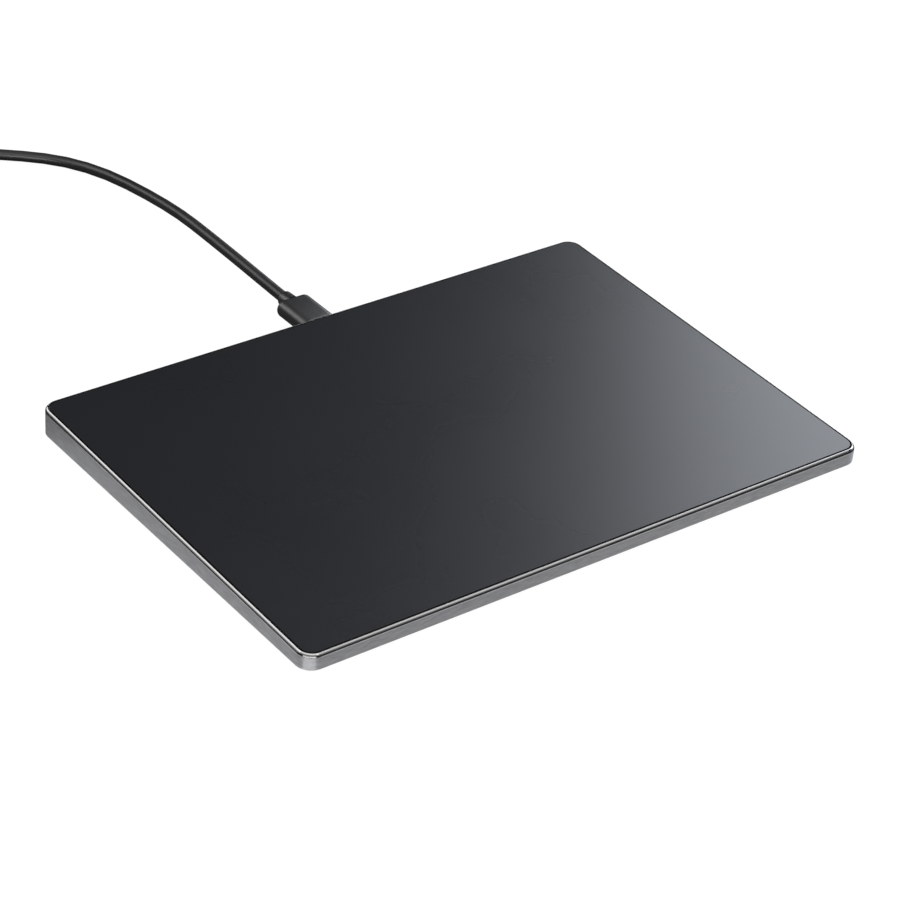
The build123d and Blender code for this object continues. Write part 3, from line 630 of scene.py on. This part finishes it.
# %% The glass finish and its ground edge
dark_glass = grained(
    "satin_dark_glass",
    grain=(38.0, 3.0, 0.5),
    colours=((0.0065, 0.0070, 0.0085, 1.0), (0.0085, 0.0090, 0.0110, 1.0)),
    roughness=(0.265, 0.285, 0.0, 1.0),
    IOR=1.52,
)
etch = noise(dark_glass, 0.22, 2.0, 0.6)
small_relief(dark_glass, etch, 0.0006, 0.5)
ground_edge = grained(
    "ground_glass_edge",
    grain=(0.2, 2.0, 0.5),
    colours=(grey(0.004), grey(0.008)),
    roughness=(0.5, 0.6),
    IOR=1.5,
    Specular_IOR_Level=0.12,
)

# %% [markdown]
# ## Moulded and rubber-like finishes
#
# The plug is moulded in satin black plastic, the lead's jacket is a smoother, glossier black, and
# the feet are matt rubber. What tells them apart is how wide the highlight is, so the
# roughness differs most, and a fine spark-eroded or pressed grain breaks each surface up.

# %% Plastics, jacket and rubber
plug_plastic = grained(
    "satin_plug_plastic",
    grain=(0.10, 2.0, 0.6),
    colours=(grey(0.004), grey(0.007)),
    roughness=(0.32, 0.42),
    relief=(0.004, 0.5),
    IOR=1.8,
)
cord_jacket = grained(
    "cord_jacket_black",
    grain=(2.5, 2.0, 0.5),
    colours=(grey(0.005), grey(0.008)),
    roughness=(0.36, 0.42),
    relief=(0.012, 0.4),
    IOR=1.6,
)
foot_rubber = grained(
    "foot_rubber",
    grain=(0.25, 3.0, 0.6),
    colours=(grey(0.020), grey(0.034)),
    roughness=(0.72, 0.86),
    relief=(0.02, 0.7),
    IOR=1.45,
    Specular_IOR_Level=0.3,
)
black_plastic = grained(
    "matt_black_plastic",
    grain=(0.14, 2.0, 0.6),
    colours=(grey(0.014), grey(0.024)),
    roughness=(0.48, 0.60),
    relief=(0.006, 0.6),
    IOR=1.5,
)
plunger_plastic = grained(
    "plunger_plastic",
    grain=(0.2, 2.0, 0.5),
    colours=((0.55, 0.53, 0.47, 1.0), (0.62, 0.60, 0.54, 1.0)),
    roughness=(0.38, 0.48),
    IOR=1.5,
)

# %% [markdown]
# ## The finishes inside
#
# Hidden pieces are finished as carefully as the visible ones, because the part may be opened or
# cut. Steel is drawn with fine lines, boards are green with paler tracks under the varnish, a
# ribbon is an amber film with copper lines along it, and soft pads are a cellular foam.

# %% Steel and adhesive
steel = grained(
    "drawn_steel",
    grain=(0.5, 4.0, 0.6, (0.15, 3.0, 1.0)),
    colours=(grey(0.48), grey(0.60)),
    roughness=(0.24, 0.36),
    relief=(0.002, 0.5),
    Metallic=1.0,
)
clear_adhesive = grained(
    "clear_adhesive",
    grain=(1.5, 2.0, 0.5),
    colours=(grey(0.72), grey(0.82)),
    roughness=(0.2, 0.4),
    IOR=1.46,
    Transmission_Weight=0.75,
)

# %% Circuit boards
track_spacing = 2.4
circuit_board = finish("green_board", IOR=1.52)
track_values = {
    "Scale": 1.0 / (track_spacing * millimetre),
    "Mortar Size": 0.05,
    "Color1": (0.010, 0.075, 0.032, 1.0),
    "Color2": (0.012, 0.090, 0.040, 1.0),
    "Mortar": (0.030, 0.170, 0.070, 1.0),
    "Vector": object_place(circuit_board),
}
tracks = add_node(circuit_board.node_tree, "ShaderNodeTexBrick", track_values).outputs
into(circuit_board, "Base Color", tracks["Color"])
varnish = noise(circuit_board, 3.0, 2.0, 0.5)
into(circuit_board, "Roughness", spread(circuit_board, varnish, 0.32, 0.42))
small_relief(circuit_board, tracks["Fac"], 0.012, 0.6)
print("board nodes", len(circuit_board.node_tree.nodes))

# %% Ribbons
copper_pitch = 0.987
ribbon_amber = (0.30, 0.10, 0.015, 1.0)
ribbon_copper = (0.52, 0.22, 0.05, 1.0)
ribbon_film = finish("amber_ribbon", IOR=1.6)
copper = fine_lines(ribbon_film, object_place(ribbon_film), "X", copper_pitch)
into(ribbon_film, "Base Color", two_colours(ribbon_film, copper, ribbon_amber, ribbon_copper))
into(ribbon_film, "Roughness", spread(ribbon_film, noise(ribbon_film, 1.0), 0.25, 0.35))
small_relief(ribbon_film, copper, 0.01, 0.5)
print("ribbon nodes", len(ribbon_film.node_tree.nodes))

# %% Foam
cell_size = 0.3
soft_pad = finish("soft_foam", IOR=1.4)
cell_values = {"Scale": 1.0 / (cell_size * millimetre), "Vector": object_place(soft_pad)}
cells = add_node(soft_pad.node_tree, "ShaderNodeTexVoronoi", cell_values).outputs["Distance"]
into(soft_pad, "Base Color", two_colours(soft_pad, cells, grey(0.10), grey(0.20)))
into(soft_pad, "Roughness", spread(soft_pad, cells, 0.8, 0.95, 0.0, 1.0))
small_relief(soft_pad, cells, 0.04, 0.8)
print("foam nodes", len(soft_pad.node_tree.nodes))

# %% [markdown]
# ## Woven strap
#
# The coil is held by a narrow woven strap. Its weave is two sets of fine waves across each other,
# and on the curved strap they have to follow its length, so they read the strap's own map, in
# which one unit is a metre along the strap and a metre across it.

# %% The strap's weave
thread_pitch = 1.184
strap_map_name = "along_strap"
strap_cloth = finish("woven_strap", IOR=1.4, Specular_IOR_Level=0.25, Sheen_Weight=0.3)
tree = strap_cloth.node_tree
strap_place = add_node(tree, "ShaderNodeUVMap", uv_map=strap_map_name).outputs[0]
threads = [fine_lines(strap_cloth, strap_place, way, thread_pitch) for way in ("X", "Y")]
weave = math_node(tree, "MULTIPLY", *threads)
into(strap_cloth, "Base Color", two_colours(strap_cloth, weave, grey(0.012), grey(0.04)))
into(strap_cloth, "Roughness", spread(strap_cloth, weave, 0.7, 0.9, 0.0, 1.0))
small_relief(strap_cloth, weave, 0.08, 0.8)
print("strap nodes", len(tree.nodes))

# %% [markdown]
# ## Dressing the model's own nodes
#
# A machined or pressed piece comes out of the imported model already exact, with smooth normals, so
# it stays as it is and only gets its finish. The record names a slot for every node, and a short
# table turns slots into finishes.

# %% Give each node the finish of its slot
finishes = {
    "anodised_metal": anodised,
    "dark_glass": dark_glass,
    "foot_rubber": foot_rubber,
    "steel": steel,
    "circuit_board": circuit_board,
    "black_plastic": black_plastic,
    "ribbon_film": ribbon_film,
    "clear_adhesive": clear_adhesive,
    "soft_pad": soft_pad,
    "plunger_plastic": plunger_plastic,
    "plug_plastic": plug_plastic,
    "cord_jacket": cord_jacket,
    "tie_strap": strap_cloth,
}
for node in nodes.values():
    for node_slot in node.material_slots:
        node_slot.material = finishes[node_slot.material.name]
data_cord.data.materials.append(cord_jacket)
print("dressed", len(nodes), "nodes")

# %% [markdown]
# ## Surfaces from rings
#
# The glass, the feet, the plug bodies and their reliefs all have one thing in common: an outline
# that is drawn in a little, or let out, as it goes up. So one function stacks closed outlines
# into a skin, closes both ends and turns the faces outwards, and each piece only needs the list
# of how far its outline is drawn in at each height. One more ring a hair inside the edge of a
# flat end keeps that end's shading even.


# %% An outline and a rounded edge
def rounded_outline(half_x, half_y, radius, inset, corner_steps):
    """Rounded rectangles, one for each inset, as an array of rings by points by two.

    Each corner is a quarter circle about its own centre. Drawing the outline in keeps the
    centre and takes the inset from the radius.
    """
    inset = np.asarray(inset, dtype=float)[:, None]
    quarter = np.linspace(0, np.pi / 2, corner_steps + 1)
    angle = (np.arange(4)[:, None] * np.pi / 2 + quarter[None, :]).ravel()
    side_x = np.repeat([1, -1, -1, 1], corner_steps + 1)
    side_y = np.repeat([1, 1, -1, -1], corner_steps + 1)
    corner = np.maximum(radius - inset, 1e-3)
    beyond = np.maximum(inset - radius + 1e-3, 0)
    x = side_x * (half_x - radius - beyond) + corner * np.cos(angle)
    y = side_y * (half_y - radius - beyond) + corner * np.sin(angle)
    return np.stack([x, y], axis=2)


def quarter_arc(radius, steps):
    """Sine and one minus cosine of a quarter turn, times the radius, in equal steps."""
    turn = np.linspace(0, np.pi / 2, steps + 1)
    return radius * np.sin(turn), radius * (1 - np.cos(turn))


print("a quarter arc goes in and down by", [arc.round(3).tolist() for arc in quarter_arc(1.0, 2)])


# %% A skin over a stack of outlines
def closed_piece(name, points, quads, fans, sharp_angle):
    """A piece of quads and then triangles, with its faces turned outwards.

    The signed volume, a sixth of the sum of triple products, tells whether the faces point
    inwards, and if so their order is turned round. Gives the piece and whether it was turned.
    """
    halves = np.concatenate([quads[:, :3], quads[:, [0, 2, 3]], fans])
    a, b, c = points[halves[:, 0]], points[halves[:, 1]], points[halves[:, 2]]
    inside_out = np.einsum("ij,ij->i", a, np.cross(b, c)).sum() < 0
    if inside_out:
        quads = quads[:, ::-1]
        fans = fans[:, ::-1]
    mesh = bpy.data.meshes.new(name)
    mesh.from_pydata(points * millimetre, [], quads.tolist() + fans.tolist())
    mesh.shade_smooth()
    mesh.set_sharp_from_angle(angle=math.radians(sharp_angle))
    piece = bpy.data.objects.new(name, mesh)
    bpy.context.scene.collection.objects.link(piece)
    print(name, "faces", len(mesh.polygons), "turned" if inside_out else "kept")
    return piece, inside_out


def skin_of_rings(name, rings, sharp_angle=40.0):
    """A closed piece over rings of points: quads between rings and a fan at each end."""
    count, around = rings.shape[:2]
    middles = [rings[0].mean(axis=0), rings[-1].mean(axis=0)]
    points = np.concatenate([rings.reshape(-1, 3), middles])
    here = np.arange(around)
    ahead = (here + 1) % around
    row = np.arange(count - 1)[:, None] * around
    corners = [row + here, row + ahead, row + around + ahead, row + around + here]
    quads = np.stack(corners, axis=2).reshape(-1, 4)
    last = (count - 1) * around
    first_middle = np.full(around, count * around)
    first_fan = np.stack([first_middle, ahead, here], axis=1)
    last_fan = np.stack([first_middle + 1, last + here, last + ahead], axis=1)
    fans = np.concatenate([first_fan, last_fan])
    return closed_piece(name, points, quads, fans, sharp_angle)[0]


def stand_in(piece, body, node, slot):
    """The piece rides on the body, stands for the node and takes its slot's finish."""
    piece.data.materials.append(finishes[slot])
    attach(piece, body)
    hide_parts(node)


print("tools for skins ready")

# %% [markdown]
# ## The glass
#
# The real edge of the glass is not a flat bevel but a fine ground rounding, blackened so that the
# slit round the sheet reads as one dark line. On the far sides the photograph shows no slit at
# all, so the sheet must stand a hair above the rim and fill its opening closely. So the glass is
# remade with a round edge on top, in the plane of the slope, a tenth or two of a millimetre
# fuller than the plain node that it stands for, and still clear of the wall. The faces are
# counted ring by ring, so the first ones are the edge and take its duller finish.

# %% Where the glass lies
glass_inset = 1.05
glass_proud = 0.08
glass_thick = 0.88
glass_round = 0.1
glass_bevel = 0.1
glass_under_ring = 0.12
glass_top_ring = 0.13


def on_slope(outlines, depth):
    """Points of the sloped top's plane, lowered by the depth along its normal."""
    depth = np.asarray(depth, dtype=float)[:, None]
    x = outlines[:, :, 0]
    y = outlines[:, :, 1] * math.cos(top_lean) + depth * math.sin(top_lean)
    z = top_middle + outlines[:, :, 1] * math.sin(top_lean) - depth * math.cos(top_lean)
    return np.stack([x, y, z], axis=2)


print("glass reaches", pad_half_width - glass_inset, "mm to each side")

# %% Glass sheet with a rounded edge
under_insets = [glass_under_ring, glass_bevel, 0.0, 0.0]
under_depths = [glass_thick, glass_thick, glass_thick - glass_bevel, glass_round]
inwards, sunk = quarter_arc(glass_round, steps=6)
glass_insets = np.concatenate([under_insets, sunk[1:], [glass_top_ring]])
glass_depths = np.concatenate([under_depths, glass_round - inwards[1:], [0.0]])
glass_outlines = rounded_outline(
    pad_half_width - glass_inset,
    slant_half - glass_inset,
    pad_corner - glass_inset,
    glass_insets,
    corner_steps=12,
)
glass_top = skin_of_rings("glass_top", on_slope(glass_outlines, glass_depths - glass_proud))
stand_in(glass_top, "click_plate", "glass_plate", "dark_glass")
glass_top.data.materials.append(ground_edge)
edge_faces = (len(glass_insets) - 1) * glass_outlines.shape[1]
face_kind = np.zeros(len(glass_top.data.polygons), dtype=np.int32)
face_kind[:edge_faces] = 1
glass_top.data.polygons.foreach_set("material_index", face_kind)

# %% [markdown]
# ## The bright rim
#
# The cut rim is a narrow slanted face round the top of the wall. From the side, its two edges
# catch light because they are not knife edges but tiny roundings. The ring is a section of a few
# points swept round the outline, closed along the ring and round the section, so one function
# joins a grid of points that wraps in both directions. It stands two hundredths of a millimetre
# proud of the wall, so that it hides the plain slanted face below.


# %% A skin that wraps both ways
def wrapped_skin(name, points, sharp_angle=50.0):
    """A closed band: every point of the grid is joined to its neighbours, the last to the first."""
    rows, around = points.shape[:2]
    row = np.arange(rows)[:, None]
    column = np.arange(around)
    next_row = (row + 1) % rows
    next_column = (column + 1) % around
    corners = [
        row * around + column,
        next_row * around + column,
        next_row * around + next_column,
        row * around + next_column,
    ]
    quads = np.stack(corners, axis=2).reshape(-1, 4)
    no_fans = np.empty((0, 3), dtype=int)
    return closed_piece(name, points.reshape(-1, 3), quads, no_fans, sharp_angle)


print("tool for wrapped skins ready")

# %% The section of the rim
rim_slant = 0.6
rim_low = 0.22
rim_inner = 0.7
rim_proud = 0.02
rim_soft = 0.06
rim_steps = 3


def rim_section():
    """Insets and depths of the section's points, from the slanted face's foot over the top.

    The slanted face lies where inset plus depth is the slant. Each edge is an arc of a few steps
    between the two faces that it joins: half a right angle at the slanted face, and a right
    angle at the inner one.
    """
    slope = math.pi / 4
    total = rim_slant - rim_proud * math.sqrt(2)
    bend = rim_soft * math.tan(slope / 2)
    turn = np.linspace(slope, 0, rim_steps + 1)
    top_inset = total + rim_proud + bend - rim_soft * np.sin(turn)
    top_depth = rim_soft * (1 - np.cos(turn)) - rim_proud
    inwards, sunk = quarter_arc(rim_soft, rim_steps)
    inner_inset = rim_inner + rim_proud - rim_soft + inwards
    inner_depth = sunk - rim_proud
    insets = np.concatenate([[total - rim_low], top_inset, inner_inset, [rim_inner + rim_proud]])
    depths = np.concatenate([[rim_low], top_depth, inner_depth, [rim_low]])
    return insets, depths


rim_insets, rim_depths = rim_section()
print("the rim's section has", len(rim_insets), "points")

# %% The rim
rim_outlines = rounded_outline(pad_half_width, slant_half, pad_corner, rim_insets, corner_steps=24)
cut_rim, _ = wrapped_skin("cut_rim", on_slope(rim_outlines, rim_depths), sharp_angle=30.0)
cut_rim.data.materials.append(cut_metal)
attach(cut_rim, "base")

# %% [markdown]
# ## Feet
#
# A foot is a small oval of rubber with a rounded lower edge. It is pressed a little into its
# recess, and its sole is very slightly hollow so that it grips at the rim. A Bevel modifier could
# round the model's own foot, but a stack of outlines gives the edge and the hollow together.

# %% Four feet
foot_half = (12.0, 3.5)
foot_round = 0.3
foot_top = 1.1
foot_bevel = 0.03
sole_insets = (1.1, 0.8)
sole_heights = (0.05, 0.04)
foot_places = {
    "foot_front_left": (-60.0, -45.0),
    "foot_front_right": (60.0, -45.0),
    "foot_rear_left": (-60.0, 45.0),
    "foot_rear_right": (60.0, 45.0),
}
outwards, lifted = quarter_arc(foot_round, steps=5)
foot_insets = np.concatenate(
    [sole_insets, [foot_round], foot_round - outwards[1:], [0.0, foot_bevel]]
)
foot_heights = np.concatenate(
    [sole_heights, [0.0], lifted[1:], [foot_top - foot_bevel, foot_top]]
)
for foot_name, place in foot_places.items():
    flat = rounded_outline(*foot_half, foot_half[1], foot_insets, corner_steps=12)
    height = np.broadcast_to(foot_heights[:, None], flat.shape[:2])
    rings = np.stack([flat[:, :, 0] + place[0], flat[:, :, 1] + place[1], height], axis=2)
    foot_piece = skin_of_rings(foot_name.replace("foot", "rubber_foot"), rings)
    stand_in(foot_piece, "base", foot_name, "foot_rubber")

# %% [markdown]
# ## Plug bodies and reliefs
#
# A plug body is an oval moulding with soft shoulders towards the cord. The relief after it is a
# short tapered sleeve with a rolled end, moulded in one go with the body. Both are stacks of
# outlines along the cord's direction: ovals for the body, circles for the relief.

# %% The plugs' measures
plug_half = (5.0, 2.4)
plug_long = 12.4
plug_stand_off = 0.3
near_round = 0.3
near_ring = 0.05
far_round = 1.3
far_ring = 0.1
relief_radius = 2.2
relief_long = 3.6
relief_sunk = 0.2
relief_taper = math.tan(math.radians(2.5))
relief_roll = 0.6
relief_ring = 0.05
far_seat_y = 121.3
plug_seats = {
    "": (0.0, pad_half_depth + plug_stand_off, plug_axis_height),
    "far_": (far_axis_x, far_seat_y, far_axis_height),
}


def along_cord(outlines, distance, seat):
    """Outlines set upright across the cord, this far behind the seat."""
    distance = np.broadcast_to(np.asarray(distance, dtype=float)[:, None], outlines.shape[:2])
    return np.stack([outlines[:, :, 0], distance, outlines[:, :, 1]], axis=2) + seat


print("plug seats", plug_seats)

# %% The outline of the body and of the relief, along the cord
near_in, near_sunk = quarter_arc(near_round, steps=5)
far_in, far_sunk = quarter_arc(far_round, steps=10)
near_insets = np.append(near_round + near_ring, near_round - near_in)
body_insets = np.concatenate([near_insets, [0.0], far_sunk[1:], [far_round + far_ring]])
far_places = plug_long - far_round + far_in
body_places = np.concatenate([[0.0], near_sunk, far_places, [plug_long]])
roll_in, roll_sunk = quarter_arc(relief_roll, steps=6)
roll_places = relief_long - relief_roll + roll_in
roll_insets = roll_places * relief_taper + roll_sunk
relief_insets = np.concatenate([[0.0], roll_insets, [roll_insets[-1] + relief_ring]])
relief_places = np.concatenate([[-relief_sunk], roll_places, [relief_long]])
print("outlines", len(body_places), "for a body and", len(relief_places), "for a relief")

# %% Two plugs
for prefix, seat in plug_seats.items():
    body_rings = rounded_outline(*plug_half, plug_half[1], body_insets, corner_steps=14)
    moulded = skin_of_rings(prefix + "moulded_body", along_cord(body_rings, body_places, seat))
    stand_in(moulded, "cable", prefix + "plug_body", "plug_plastic")
    relief_rings = rounded_outline(*[relief_radius] * 3, relief_insets, corner_steps=10)
    relief_at = along_cord(relief_rings, relief_places + plug_long, seat)
    sleeve = skin_of_rings(prefix + "relief_sleeve", relief_at)
    stand_in(sleeve, "cable", prefix + "plug_relief", "plug_plastic")

# %% [markdown]
# ## The strap round the coil
#
# The strap is a flat band bent round all turns at one place: a rounded rectangle that goes once
# round the bundle, with a woven face. A cloth simulation could wrap it, but a strap that is pulled
# tight has this one plain shape. Its band is a grid of two parameters, one along the strap and
# one round its flat section, so the map for the weave comes from the same grid.

# %% The band
strap_half = (7.8, 3.9)
strap_middle = (coil_middle[0], 151.85, strap_half[1])
strap_corner = 1.1
strap_thick = 0.6
strap_wide = 6.0
strap_edge = 0.12


def band_section():
    """How far in and how far sideways the section's eight points lie, round its cut corners."""
    wide = strap_wide / 2
    flat = wide - strap_edge
    inner = strap_thick - strap_edge
    inwards = np.array([0, 0, strap_edge, inner, strap_thick, strap_thick, inner, strap_edge])
    sideways = np.array([-flat, flat, wide, wide, flat, -flat, -wide, -wide])
    return inwards, sideways


def band_grid(inwards, sideways):
    """The section swept round a rounded rectangle in the plane across the coil.

    Drawing the rectangle in gives the band's thickness, and moving it sideways its width.
    """
    loops = rounded_outline(*strap_half, strap_corner, inwards, corner_steps=10)
    x = np.broadcast_to(sideways[:, None], loops.shape[:2])
    return np.stack([x, loops[:, :, 0], loops[:, :, 1]], axis=2) + strap_middle


section_in, section_x = band_section()
band_points = band_grid(section_in, section_x)
woven_tie, band_turned = wrapped_skin("woven_tie", band_points)


# %% The strap's own map
def band_map(points, inwards, sideways):
    """The places of every face's corners on the strap, in metres along and across it.

    Both are running sums of the distances between neighbours, with one more step to close.
    """
    step = np.linalg.norm(np.roll(points[0], -1, axis=0) - points[0], axis=1)
    along = np.append(0, np.cumsum(step)) * millimetre
    across = np.append(0, np.cumsum(np.hypot(np.diff(sideways), np.diff(inwards))))
    across = np.append(across, across[-1] + 2 * strap_edge) * millimetre
    u = np.stack([along[:-1], along[:-1], along[1:], along[1:]], axis=1)
    v = np.stack([across[:-1], across[1:], across[1:], across[:-1]], axis=1)
    u, v = np.broadcast_arrays(u[None, :, :], v[:, None, :])
    return np.stack([u, v], axis=3).reshape(-1, 4, 2)


strap_places = band_map(band_points, section_in, section_x)
if band_turned:
    strap_places = strap_places[:, ::-1]
print("strap map reaches", strap_places.max(axis=(0, 1)).round(4), "metres")
strap_uv = woven_tie.data.uv_layers.new(name=strap_map_name)
strap_uv.data.foreach_set("uv", np.ascontiguousarray(strap_places, dtype=np.float32).ravel())
stand_in(woven_tie, "cable", "coil_tie", "tie_strap")

# %% [markdown]
# ## The last update
#
# The separate pieces on the cord ride on its body, so they move with it.

# %% Update the view layer
bpy.context.view_layer.update()
